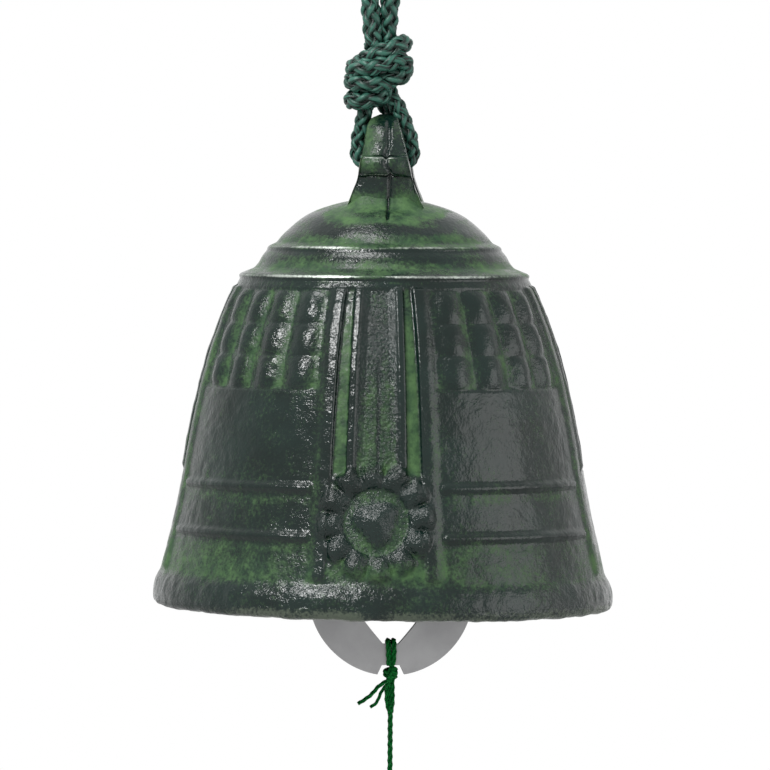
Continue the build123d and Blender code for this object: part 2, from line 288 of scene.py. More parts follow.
def new_material(name):
    material = bpy.data.materials.new(name)
    material.use_nodes = True
    nodes = material.node_tree.nodes
    return material, nodes, material.node_tree.links, nodes["Principled BSDF"]


def noise_node(nodes, links, scale, detail=4.0, roughness=0.6, kind="ShaderNodeTexNoise"):
    coordinates = nodes.new("ShaderNodeTexCoord")
    noise = nodes.new(kind)
    noise.inputs["Scale"].default_value = scale
    noise.inputs["Detail"].default_value = detail
    noise.inputs["Roughness"].default_value = roughness
    links.new(coordinates.outputs["Object"], noise.inputs["Vector"])
    return noise.outputs["Fac"]


def attribute_node(nodes, name):
    attribute = nodes.new("ShaderNodeAttribute")
    attribute.attribute_name = name
    return attribute.outputs["Fac"]


def maths(nodes, links, operation, first, second, third=None, clamp=False):
    node = nodes.new("ShaderNodeMath")
    node.operation = operation
    node.use_clamp = clamp
    for socket, value in zip(node.inputs, (first, second, third)):
        if value is None:
            continue
        if isinstance(value, (int, float)):
            socket.default_value = value
        else:
            links.new(value, socket)
    return node.outputs[0]


def colour_mix(nodes, links, share, low, high):
    node = nodes.new("ShaderNodeMix")
    node.data_type = "RGBA"
    links.new(share, node.inputs["Factor"])
    for socket, value in ((node.inputs[6], low), (node.inputs[7], high)):
        if isinstance(value, tuple):
            socket.default_value = (*value, 1)
        else:
            links.new(value, socket)
    return node.outputs[2]


def ramp(nodes, links, value, low, high):
    """The value spread from low..high to 0..1."""
    node = nodes.new("ShaderNodeMapRange")
    node.interpolation_type = "SMOOTHSTEP"
    links.new(value, node.inputs["Value"])
    node.inputs["From Min"].default_value = low
    node.inputs["From Max"].default_value = high
    return node.outputs["Result"]


def add_bump(nodes, links, surface, height, strength, distance, before=None):
    node = nodes.new("ShaderNodeBump")
    node.inputs["Strength"].default_value = strength
    node.inputs["Distance"].default_value = distance
    links.new(height, node.inputs["Height"])
    if before is not None:
        links.new(before, node.inputs["Normal"])
    links.new(node.outputs["Normal"], surface.inputs["Normal"])
    return node.outputs["Normal"]


dark_coat = (0.0, 0.007, 0.005)
dark_coat_worn = (0.003, 0.014, 0.011)
patina_green = (0.075, 0.145, 0.06)
patina_deep = (0.03, 0.066, 0.034)
bare_edge = (0.062, 0.08, 0.056)
# Colour of the painted highlight lines on the step and knuckle edges.
highlight_iron = (0.42, 0.46, 0.42)


def iron_material():
    material, nodes, links, surface = new_material("iron_patina")
    grit = noise_node(nodes, links, 2100, 2, 0.6)
    fine = noise_node(nodes, links, 1900, 3, 0.6)
    middle = noise_node(nodes, links, 420, 4, 0.6)
    broad = noise_node(nodes, links, 110, 3, 0.5)
    patina_and_shade = attribute_node(nodes, "patina_and_shade")
    wear = attribute_node(nodes, "wear")
    coarse = attribute_node(nodes, "coarse")
    painted_highlight = attribute_node(nodes, "painted_highlight")
    speck = maths(nodes, links, "MULTIPLY_ADD", fine, 1.2, -0.6)
    patch = maths(nodes, links, "MULTIPLY_ADD", middle, 0.45, -0.22)
    level = maths(nodes, links, "ADD", maths(nodes, links, "ADD", patina_and_shade, speck), patch)
    mask = ramp(nodes, links, level, 0.05, 0.95)
    dark = colour_mix(nodes, links, ramp(nodes, links, broad, 0.35, 0.7), dark_coat, dark_coat_worn)
    green = colour_mix(nodes, links, ramp(nodes, links, middle, 0.3, 0.7), patina_deep, patina_green)
    colour = colour_mix(nodes, links, mask, dark, green)
    worn = ramp(nodes, links, maths(nodes, links, "ADD", wear, speck), 0.3, 0.7)
    colour = colour_mix(nodes, links, worn, colour, bare_edge)
    # Bright metal where the highlight lines are painted: painted highlights.
    bright = ramp(nodes, links, maths(nodes, links, "MULTIPLY_ADD", speck, 0.4, painted_highlight), 0.3, 0.7)
    links.new(colour_mix(nodes, links, bright, colour, highlight_iron), surface.inputs["Base Color"])
    links.new(bright, surface.inputs["Metallic"])
    rough = maths(nodes, links, "MULTIPLY_ADD", mask, 0.3, 0.1)
    rough = maths(nodes, links, "MULTIPLY_ADD", bright, 0.15, rough)
    links.new(maths(nodes, links, "MULTIPLY_ADD", fine, 0.1, rough), surface.inputs["Roughness"])
    links.new(maths(nodes, links, "MULTIPLY_ADD", mask, -0.25, 0.34), surface.inputs["Specular IOR Level"])
    lumps = add_bump(nodes, links, surface, middle, 0.22, 0.35 * MM)
    sand = maths(nodes, links, "MULTIPLY", grit, maths(nodes, links, "MULTIPLY_ADD", coarse, 0.9, 0.1))
    grain = add_bump(nodes, links, surface, sand, 0.9, 0.45 * MM, lumps)
    add_bump(nodes, links, surface, fine, 0.24, 0.1 * MM, grain)
    return material


cord_dark = (0.001, 0.006, 0.004)
cord_light = (0.036, 0.128, 0.094)


def cord_material():
    material, nodes, links, surface = new_material("cord_braid")
    fibre = noise_node(nodes, links, 2600, 2, 0.7)
    patch = noise_node(nodes, links, 300, 2, 0.5)
    # Darker where strands dive under each other and on their inner sides: painted shade; the fibre noise is real
    # tone.
    fibre_shade = attribute_node(nodes, "fibre_shade")
    tone = maths(nodes, links, "MULTIPLY_ADD", fibre, 0.35, maths(nodes, links, "MULTIPLY", patch, 0.3))
    share = ramp(nodes, links, maths(nodes, links, "ADD", tone, fibre_shade), 0.8, 1.5)
    links.new(colour_mix(nodes, links, share, cord_dark, cord_light), surface.inputs["Base Color"])
    surface.inputs["Roughness"].default_value = 0.38
    surface.inputs["Specular IOR Level"].default_value = 0.3
    add_bump(nodes, links, surface, fibre, 0.5, 0.1 * MM)
    return material


thread_dark = (0.0, 0.028, 0.005)
thread_light = (0.003, 0.19, 0.03)


def thread_material():
    material, nodes, links, surface = new_material("thread_twist")
    fibre = noise_node(nodes, links, 4200, 2, 0.7)
    links.new(
        colour_mix(nodes, links, ramp(nodes, links, fibre, 0.3, 0.7), thread_dark, thread_light),
        surface.inputs["Base Color"],
    )
    surface.inputs["Roughness"].default_value = 0.6
    surface.inputs["Specular IOR Level"].default_value = 0.1
    add_bump(nodes, links, surface, fibre, 0.5, 0.05 * MM)
    return material


edge_shade = (0.04, 0.036, 0.036)


def steel_material(name, face_turn=None):
    """Satin steel; a plate turned from the front by face_turn has its edges painted dark, as painted shade."""
    material, nodes, links, surface = new_material(name)
    grain = noise_node(nodes, links, 3000, 3, 0.6)
    cloud = noise_node(nodes, links, 160, 3, 0.5)
    colour = colour_mix(nodes, links, ramp(nodes, links, cloud, 0.3, 0.7), (0.32, 0.32, 0.325), (0.38, 0.38, 0.385))
    # Edge faces painted dark: painted shade on the plate's rim.
    if face_turn is not None:
        facing = nodes.new("ShaderNodeVectorMath")
        facing.operation = "DOT_PRODUCT"
        links.new(nodes.new("ShaderNodeTexCoord").outputs["Normal"], facing.inputs[0])
        facing.inputs[1].default_value = (-math.sin(face_turn), math.cos(face_turn), 0)
        face = ramp(nodes, links, maths(nodes, links, "ABSOLUTE", facing.outputs["Value"], 0), 0.5, 0.8)
        colour = colour_mix(nodes, links, face, edge_shade, colour)
    links.new(colour, surface.inputs["Base Color"])
    surface.inputs["Metallic"].default_value = 1.0
    links.new(maths(nodes, links, "MULTIPLY_ADD", grain, 0.15, 0.42), surface.inputs["Roughness"])
    add_bump(nodes, links, surface, grain, 0.15, 0.03 * MM)
    return material


def paper_material():
    material, nodes, links, surface = new_material("paper_washi")
    fibre = noise_node(nodes, links, 700, 6, 0.75)
    cloud = noise_node(nodes, links, 90, 3, 0.5)
    tone = maths(nodes, links, "MULTIPLY_ADD", cloud, 0.4, fibre)
    links.new(
        colour_mix(nodes, links, ramp(nodes, links, tone, 0.4, 0.95), (0.7, 0.66, 0.54), (0.84, 0.82, 0.74)),
        surface.inputs["Base Color"],
    )
    surface.inputs["Roughness"].default_value = 0.85
    add_bump(nodes, links, surface, fibre, 0.3, 0.1 * MM)
    return material


def stage_material(name, colour):
    material, nodes, links, surface = new_material(name)
    tone = noise_node(nodes, links, 6, 2, 0.5)
    paler = tuple(min(value * 1.02, 1) for value in colour)
    links.new(colour_mix(nodes, links, tone, colour, paler), surface.inputs["Base Color"])
    surface.inputs["Roughness"].default_value = 0.9
    return material


iron = iron_material()
cord_look = cord_material()
thread_look = thread_material()
plate_turn = math.radians(7.0)
plate_steel = steel_material("steel_plate", plate_turn)
wire_steel = steel_material("steel_wire")
paper = paper_material()

# Bell casting: outline and relief, in millimetres above the rim
mouth_radius = 37.5
body_height = 53.2
rim_thickness = 3.4
wall_thickness = 3.2
lip_height = 5.7
lip_band = 3.2
lip_proud = 1.3
rim_rounding = 0.8
rim_drop = 0.1
rim_skew = 0.4
lower_step_radius = 23.6
upper_step_radius = 19.2
upper_step_height = 57.8
dome_top = 66.2
roof_height = 62.2
flank_shares = ((0.924, 0.138), (0.877, 0.312), (0.83, 0.515), (0.768, 0.722), (0.697, 0.885))
outer_step = 0.22
inner_step = 1.2
edge_softness = 0.25
columns = 900

strip_spacing = 90.0
inner_ridge_angle = 7.5
outer_ridge_angle = 14.3
inner_ridge_half_width = 0.75
outer_ridge_half_width = 0.9
outer_ridge_slope_end = 2.4
ridge_wall = 0.3
inner_ridge_fall = 0.45
outer_ridge_fall = 0.15
ridge_rise = 0.5
groove_depth = 0.3
recess_depth = 0.55
inner_ridge_foot = 22.7
outer_ridge_foot = 6.3
boss_heights = (49.1, 44.0, 38.9)
boss_column_angles = (-19.65, -6.55, 6.55, 19.65)
boss_half_width = 3.3
boss_half_height = 2.65
boss_rise = 0.95
panel_edge_angle = 27.0
panel_foot = 36.1
panel_top = 51.8
panel_depth = 0.45
band_heights = (12.9, 20.6)
band_half_height = 1.2
band_rise = 0.5
medallion_height = 15.5
petal_ring = 7.3
petal_half_width = 2.05
petal_half_length = 2.2
petal_count = 12
petal_turn = -5.0
petal_rise = 1.3
hub_radius = 3.7
hub_rise = 1.8


crown_voxel = 0.2 * MM
crown_levels = (64.8, 67.2, 70.0, 72.8, 76.2, 79.1, 79.8)
crown_half_widths = (6.3, 5.1, 4.15, 3.5, 2.65, 1.85, 1.0)
crown_widening = (1.0, 1.04, 1.05, 1.08, 1.16, 1.22, 1.3)
crown_lean = (0.25, 0.28, 0.25, 0.18, 0.0, -0.12, -0.12)
crown_bulge = 1.1
crown_lift = 0.35
crown_front = 8.3
foot_reach = 2.8
foot_rise = 1.7
knuckle_share = 0.55
knuckle_edges = (73.0, 70.2)
seam_depth = 0.5


def curve_through(points, step):
    """A smooth curve through points of an outline."""
    points = np.asarray(points, float)
    before = np.vstack([2 * points[0] - points[1], points, 2 * points[-1] - points[-2]])
    out = []
    for index in range(len(points) - 1):
        p0, p1, p2, p3 = before[index : index + 4]
        count = max(int(np.linalg.norm(p2 - p1) / step), 2)
        for share in np.linspace(0, 1, count, endpoint=False):
            out.append(
                0.5
                * (
                    2 * p1
                    + (p2 - p0) * share
                    + (2 * p0 - 5 * p1 + 4 * p2 - p3) * share**2
                    + (3 * p1 - p0 - 3 * p2 + p3) * share**3
                )
            )
    out.append(points[-1])
    return np.array(out)


def outline_points():
    """The bell's outer outline from the rim's inner edge to the top, and its inner one back down."""
    flank_height = body_height - lip_height
    flank = [(mouth_radius - lip_proud, lip_height)]
    flank += [(mouth_radius * r, lip_height + flank_height * h) for r, h in flank_shares]
    flank.append((lower_step_radius, body_height))
    inner = [(r - wall_thickness, h) for r, h in flank]
    fine = 0.1
    lip = [
        (mouth_radius - rim_thickness, 0),
        (mouth_radius - rim_rounding - 0.4, 0),
        (mouth_radius - rim_rounding * 0.45, rim_rounding * 0.3),
        (mouth_radius - rim_rounding * 0.1, rim_rounding),
        (mouth_radius, rim_rounding * 1.8),
        (mouth_radius - lip_proud * 0.08, lip_band * 0.85),
        (mouth_radius - lip_proud * 0.25, lip_band * 1.15),
        (mouth_radius - lip_proud * 0.5, lip_height - 1.1),
        (mouth_radius - lip_proud, lip_height),
    ]
    shoulder = [
        (lower_step_radius, body_height),
        (lower_step_radius - 0.2, body_height + 0.2),
        (lower_step_radius + 0.2, body_height + 0.5),
        (lower_step_radius - 0.1, body_height + 0.95),
        (lower_step_radius - 1.4, body_height + 1.45),
        (21.1, body_height + 1.9),
        (20.4, body_height + 2.8),
        (19.9, body_height + 3.8),
        (upper_step_radius + 0.05, upper_step_height),
        (upper_step_radius - 0.2, upper_step_height + 0.2),
        (upper_step_radius, upper_step_height + 0.5),
        (upper_step_radius - 0.5, upper_step_height + 0.9),
        (upper_step_radius - 1.6, upper_step_height + 1.35),
    ]
    dome = [shoulder[-1], (15.9, 61.1), (12.3, 63.85), (7.04, 65.7), (3.0, 66.15), (0.01, dome_top)]
    outer = np.vstack(
        [straight(lip, fine)[:-1], curve_through(flank, fine)[:-1], straight(shoulder, fine)[:-1], curve_through(dome, fine)]
    )
    ceiling = [inner[-1], (18.2, 57.0), (14.5, 59.6), (9.0, 61.4), (4.0, 62.05), (0.01, roof_height)]
    inside = np.vstack([curve_through([(mouth_radius - rim_thickness, 0), *inner], fine)[:-1], curve_through(ceiling, fine)])
    return softened(outer, fine), inside[::-1]


def straight(points, step):
    """Points along straight runs."""
    points = np.asarray(points, float)
    out = []
    for start, end in zip(points[:-1], points[1:]):
        count = max(int(np.linalg.norm(end - start) / step), 1)
        out += [start + (end - start) * share for share in np.linspace(0, 1, count, endpoint=False)]
    out.append(points[-1])
    return np.array(out)


def softened(line, step):
    """An outline with its edges rounded, as a casting's are."""
    lengths = np.concatenate([[0], np.cumsum(np.linalg.norm(np.diff(line, axis=0), axis=1))])
    places = np.arange(0, lengths[-1], step)
    even = np.stack([np.interp(places, lengths, line[:, axis]) for axis in range(2)], axis=1)
    reach = int(3 * edge_softness / step)
    weights = np.exp(-0.5 * (np.arange(-reach, reach + 1) * step / edge_softness) ** 2)
    weights /= weights.sum()
    padded = np.vstack([2 * even[0] - even[reach:0:-1], even, 2 * even[-1] - even[-2 : -reach - 2 : -1]])
    return np.stack([np.convolve(padded[:, axis], weights, "valid") for axis in range(2)], axis=1)


def spaced(line, step):
    """An outline's points at even steps."""
    lengths = np.concatenate([[0], np.cumsum(np.linalg.norm(np.diff(line, axis=0), axis=1))])
    places = np.linspace(0, lengths[-1], int(lengths[-1] / step) + 1)
    return np.stack([np.interp(places, lengths, line[:, axis]) for axis in range(2)], axis=1)


def round_top(distance, half_width):
    """A rounded ridge's height across its width."""
    share = np.clip(np.abs(distance) / half_width, 0, 1)
    return np.cos(share * math.pi / 2) ** 2


def flat_top(distance, half_width, far_reach, fall):
    """A raised line's height across its width, steep at its near side and falling away to its far side."""
    share = np.clip((distance / half_width + 1) / 2, 0, 1)
    near = ease(distance, -half_width, ridge_wall - half_width)
    far = 1 - ease(distance, half_width - ridge_wall, far_reach)
    return (1 - fall * share) * near * far


def pad(u, v, half_width, half_height):
    """A pillow, round across and flat up and down."""
    across = np.cos(np.clip(np.abs(u) / half_width, 0, 1) * math.pi / 2) ** 1.4
    upright = np.clip(1 - np.abs(v / half_height) ** 3, 0, 1) ** 0.8
    return across * (0.4 * (np.abs(v) < half_height) + 0.6 * upright)


def relief(radius, height, degrees):
    """How far the flank stands out, its patina with painted shade in crevices and on the pads' left halves, and its
    coarseness, at heights and angles from the front.
    """
    nearest = np.round(degrees / strip_spacing)
    from_strip = degrees - nearest * strip_spacing
    with_medallion = (nearest.astype(int) % 2) == 0
    u = radius * np.radians(from_strip)
    out = np.zeros_like(u)
    green = np.full_like(u, 0.02)
    coarse = np.full_like(u, 0.12)

    # Panels between the strips
    from_panel = np.abs(np.abs(from_strip) - strip_spacing / 2)
    panel_u = radius * np.radians(panel_edge_angle - from_panel)
    in_panel = ease(panel_u, -0.8, 1.6) * ease(height, panel_foot - 0.4, panel_foot + 0.4)
    in_panel *= 1 - ease(height, panel_top - 0.4, panel_top + 0.4)
    out -= panel_depth * in_panel
    bosses = np.zeros_like(u)
    boss_side = np.zeros_like(u)
    signed_panel = np.where(from_strip >= 0, from_strip - strip_spacing / 2, from_strip + strip_spacing / 2)
    for boss_height in boss_heights:
        for angle in boss_column_angles:
            boss_u = radius * np.radians(signed_panel - angle)
            one_pad = pad(boss_u, height - boss_height, boss_half_width, boss_half_height)
            boss_side = np.where(one_pad > bosses, boss_u / boss_half_width, boss_side)
            bosses = np.maximum(bosses, one_pad)
    out += boss_rise * bosses
    # Patina in the pad gaps and on each pad's right half; the left halves are kept dark as painted shade.
    green += in_panel * (0.24 - 0.26 * ease(bosses, 0.05, 0.6) + 0.3 * ease(boss_side, 0.05, 0.75))
    frame_edge = np.exp(-(((panel_u + 0.7) / 0.9) ** 2)) * (height < panel_top)
    green += 0.3 * frame_edge * ease(-height, -50, -40)
    for band_height in band_heights:
        ends = ease(panel_u, -0.4, 0.6)
        band = round_top(height - band_height, band_half_height) * ends
        out += band_rise * band
        under = np.exp(-(((height - band_height + 1.8) / 1.0) ** 2)) * ends
        green += 0.22 * under - 0.1 * band
    green += 0.04 * ease(-height, -30, -22)
    green += (0.24 + 0.26 * ease(-degrees, 10, 40)) * ease(-height, -13, -7.5)

    # Ridges of the strips and the smooth grooves between them
    inner = radius * math.radians(inner_ridge_angle)
    outer = radius * math.radians(outer_ridge_angle)
    inner_on = ease(height, inner_ridge_foot - 0.6, inner_ridge_foot + 0.6)
    outer_on = ease(height, outer_ridge_foot - 0.6, outer_ridge_foot + 0.6)
    below_top = 1 - ease(height, body_height - 1.5, body_height - 0.7)
    inner_ridge = flat_top(np.abs(u) - inner, inner_ridge_half_width, inner_ridge_half_width, inner_ridge_fall)
    inner_ridge *= inner_on * below_top
    outer_ridge = flat_top(np.abs(u) - outer, outer_ridge_half_width, outer_ridge_slope_end, outer_ridge_fall)
    outer_ridge *= outer_on * below_top
    out += ridge_rise * np.maximum(inner_ridge, outer_ridge)
    past_inner = np.abs(u) - inner - inner_ridge_half_width
    past_outer = np.abs(u) - outer + outer_ridge_half_width
    groove = ease(past_inner, -0.3, 0.15) * (1 - ease(past_outer, -0.15, 0.3)) * inner_on * below_top
    recess_edge = np.abs(u) - inner + inner_ridge_half_width
    recess = (1 - ease(recess_edge, -0.15, 0.3)) * inner_on * below_top
    channel = (1 - ease(recess_edge, -1.5, 0.3)) * inner_on * below_top
    out -= groove_depth * groove + recess_depth * channel
    green += groove * (0.3 + 0.1 * ease(degrees, -5, 5) + 0.35 * ease(-height, -51, -45))
    green += recess * (0.16 + 0.34 * ease(-height, -44, -26))
    green += np.where(with_medallion, -0.2, 0.2) * np.maximum(inner_ridge, outer_ridge)
    # Dark lines at the foot of the recess and groove walls: painted shade in the crevices.
    for crevice in (past_outer, recess_edge):
        green -= 0.5 * np.exp(-((crevice / 0.28) ** 2)) * inner_on * below_top
    wall = ease(recess_edge, -1.5, -1.0) * recess
    coarse += 0.88 * recess - 0.12 * groove - 0.5 * wall
    green -= 0.2 * wall
    seam = np.exp(-(((u - 0.2) / 0.3) ** 2)) * recess * ease(-height, -42, -38)
    out -= 0.2 * seam
    green -= 0.4 * seam

    # Lotus medallions at front and back
    v = height - medallion_height
    ring = np.hypot(u, v)
    around = np.degrees(np.arctan2(u, v))
    petal_step = 360 / petal_count
    off_petal = (around - petal_turn + petal_step / 2) % petal_step - petal_step / 2
    petal_side = np.abs(ring * np.radians(off_petal)) / petal_half_width
    petal_along = (ring - petal_ring) / petal_half_length
    petals = np.clip(1 - petal_side**2, 0, 1) ** 0.8 * np.clip(1 - petal_along**2, 0, 1) ** 0.8
    hub = np.clip(1 - ring * (1 + 0.14 * np.cos(np.radians(around * 3 + 40))) / hub_radius, 0, 1) ** 0.8
    dish = 1 - ease(ring, petal_ring - 0.8, petal_ring + 1.8)
    medallion = petal_rise * petals + hub_rise * hub - 0.35 * dish
    inside = 1 - ease(ring, 8.2, 9.4)
    out += np.where(with_medallion, medallion, 0)
    hollow = inside * (1 - ease(petals, 0.05, 0.4)) * (1 - ease(hub, 0.05, 0.4))
    below = np.exp(-(((height - 7.6) / 1.2) ** 2)) * (1 - ease(np.abs(u), outer - 1.2, outer - 0.6))
    green += np.where(with_medallion, 0.32 * hollow - 0.25 * petals - 0.4 * hub + 0.35 * below, 0.2 * below)
    coarse += np.where(with_medallion, 0.45 * inside, 0)
    return out, green, coarse


def bell_body():
    outer, inside = outline_points()
    outer, inside = spaced(outer, outer_step), spaced(inside, inner_step)
    line = np.vstack([outer, inside[1:-1]])
    is_outer = np.arange(len(line)) < len(outer)
    tangent = np.gradient(line, axis=0)
    tangent /= np.linalg.norm(tangent, axis=1)[:, None]
    normal = np.stack([tangent[:, 1], -tangent[:, 0]], axis=1)
    degrees = np.arange(columns) * 360 / columns - 180
    radius = np.repeat(line[:, 0], columns)
    height = np.repeat(line[:, 1], columns)
    turn = np.tile(degrees, len(line))
    outside = np.repeat(is_outer, columns)
    stand, green, coarse = relief(radius, height, turn)
    on_flank = ease(height, lip_height - 0.3, lip_height + 0.5) * (1 - ease(height, body_height - 0.9, body_height - 0.2))
    on_flank = on_flank * outside
    stand = stand * on_flank

    def placed(r, z):
        return np.stack([r * np.sin(np.radians(turn)), -r * np.cos(np.radians(turn)), z], axis=1)

    base = placed(radius, height)
    lumps = lattice_noise(base, 3.2, 11) * 0.07 + lattice_noise(base, 1.3, 12) * 0.05 + lattice_noise(base, 0.7, 13) * 0.025
    on_lip = (1 - ease(height, lip_height - 0.5, lip_height + 0.8)) * outside
    above = ease(height, body_height - 1.0, body_height)
    lumps = lumps * np.where(outside, 1.0 - 0.75 * above, 0.6) * (1 + 0.6 * on_lip)
    lumps *= ease(radius, 0.5, 4)
    foot_seam = np.exp(-(((base[:, 0] - 0.9) / 0.3) ** 2)) * (np.abs(turn) < 90) * ease(radius, 7.0, 8.0)
    foot_seam *= (1 - ease(radius, 12.5, 15.0)) * (height > upper_step_height) * outside
    stand = stand + lumps - seam_depth * foot_seam
    points = placed(
        radius + stand * np.repeat(normal[:, 0], columns), height + stand * np.repeat(normal[:, 1], columns)
    )
    from_front = np.abs(points[:, 1])
    foot = np.clip(1 - (from_front - crown_front) / foot_reach, 0, 1) ** 2 * ease(from_front, 6.0, 7.8)
    foot *= (1 - ease(np.abs(points[:, 0]), 3.0, 7.0)) * (height > upper_step_height) * outside
    points[:, 2] += foot_rise * foot
    points[:, 2] -= (rim_drop + rim_skew * points[:, 0] / mouth_radius) * (1 - ease(height, 2.0, 24.0))
    broad = lattice_noise(base, 9.0, 21)
    patch = lattice_noise(base, 4.0, 22)
    streak = lattice_noise(base * np.array((1, 1, 5)), 4.5, 23)
    streak += 0.6 * lattice_noise(base * np.array((1, 1, 4)), 1.8, 24)
    shoulder_green = 0.18 + 0.26 * streak
    shoulder_green += 0.4 * np.exp(-(((height - body_height - 2.0) / 1.1) ** 2))
    facing = ease(np.abs(np.cos(np.radians(turn))), 0.45, 0.85)
    ledge_reach = 0.8 + 0.6 * facing
    ledge = np.exp(-(((height - upper_step_height - 1.6) / ledge_reach) ** 2))
    shoulder_green += (0.4 + 0.1 * facing) * ledge
    foot_edge = 11.5 + 3.5 * facing + 0.8 * patch
    shoulder_green += (0.25 + 0.35 * facing) * (1 - ease(radius, foot_edge - 1.2, foot_edge))
    dark_ring = np.exp(-(((radius - foot_edge - 0.9) / 0.7) ** 2)) * (height > upper_step_height)
    shoulder_green -= (0.3 + 0.3 * patch) * dark_ring
    # Dark lines just under each step's edge bead: painted shade.
    for step_height in (body_height, upper_step_height):
        shoulder_green -= 0.4 * np.exp(-(((height - step_height - 0.2) / 0.3) ** 2))
    lip_green = 0.08 + 0.3 * np.exp(-(((height - lip_height - 0.3) / 0.9) ** 2))
    on_shoulder = ease(height, body_height - 0.8, body_height + 0.2)
    patina_and_shade = green * (1 - on_shoulder) + shoulder_green * on_shoulder
    patina_and_shade = patina_and_shade * (1 - on_lip) + lip_green * on_lip
    patina_and_shade = np.where(outside, patina_and_shade + 0.14 * broad + 0.1 * patch, 0.12 + 0.1 * broad)
    rough_rim = (0.56 + 0.3 * patch) * (1 - 0.7 * ease(-turn, 30, 55))
    wear = np.where(outside, rough_rim * np.exp(-((height / 1.9) ** 4)) * (radius > mouth_radius - 2.4), 0)
    wear += np.where(outside, 0.6 * (height < 0.25) * (radius < mouth_radius - 1.0), 0)
    patina_and_shade -= 0.7 * foot_seam
    coarse = coarse * (1 - on_shoulder) + 0.08 * on_shoulder
    coarse = np.where(outside, coarse * (1 - on_lip) + on_lip * (0.2 + 0.5 * wear), 0.6)
    # Painted highlights: bright metal lines along the two step edges, stronger on the lit left side and fainter at
    # the front and the sides.
    painted_highlight = np.zeros_like(height)
    for step_height, strength in ((body_height, 0.8), (upper_step_height, 0.62)):
        painted_highlight += np.where(outside, strength * np.exp(-(((height - step_height - 0.75) / 0.28) ** 2)), 0)
    lit = ease(-np.sin(np.radians(turn)), -0.1, 0.35)
    painted_highlight *= (0.72 + 0.3 * patch + 0.28 * lit) * (1 - 0.5 * np.exp(-(((turn + 5) / 8) ** 2)))
    painted_highlight *= 1 - 0.4 * ease(np.abs(turn), 40, 58)

    rows = len(line)
    index = np.arange(rows * columns).reshape(rows, columns)
    after = np.roll(index, -1, axis=1)
    nxt = np.roll(index, -1, axis=0)
    nxt_after = np.roll(after, -1, axis=0)
    top = len(outer) - 1
    keep = [row for row in range(rows) if row != top]
    faces = np.stack([index, after, nxt_after, nxt], axis=2)[keep].reshape(-1, 4)
    world = points * MM + np.array((0, 0, rim_level))
    piece = add_mesh("bell_body", world, faces, iron, "bell")
    close_ring(piece.data, index[top])
    close_ring(piece.data, index[top + 1])
    set_attribute(piece, "patina_and_shade", patina_and_shade)
    set_attribute(piece, "wear", wear)
    set_attribute(piece, "coarse", coarse)
    set_attribute(piece, "painted_highlight", painted_highlight)
    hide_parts("bell_casting")
    return piece


def close_ring(mesh, ring):
    """Closes a tiny ring of points at a pole with one face."""
    work = bmesh.new()
    work.from_mesh(mesh)
    work.verts.ensure_lookup_table()
    work.faces.new([work.verts[index] for index in ring])
    bmesh.ops.recalc_face_normals(work, faces=work.faces)
    work.to_mesh(mesh)
    work.free()
    mesh.shade_smooth()


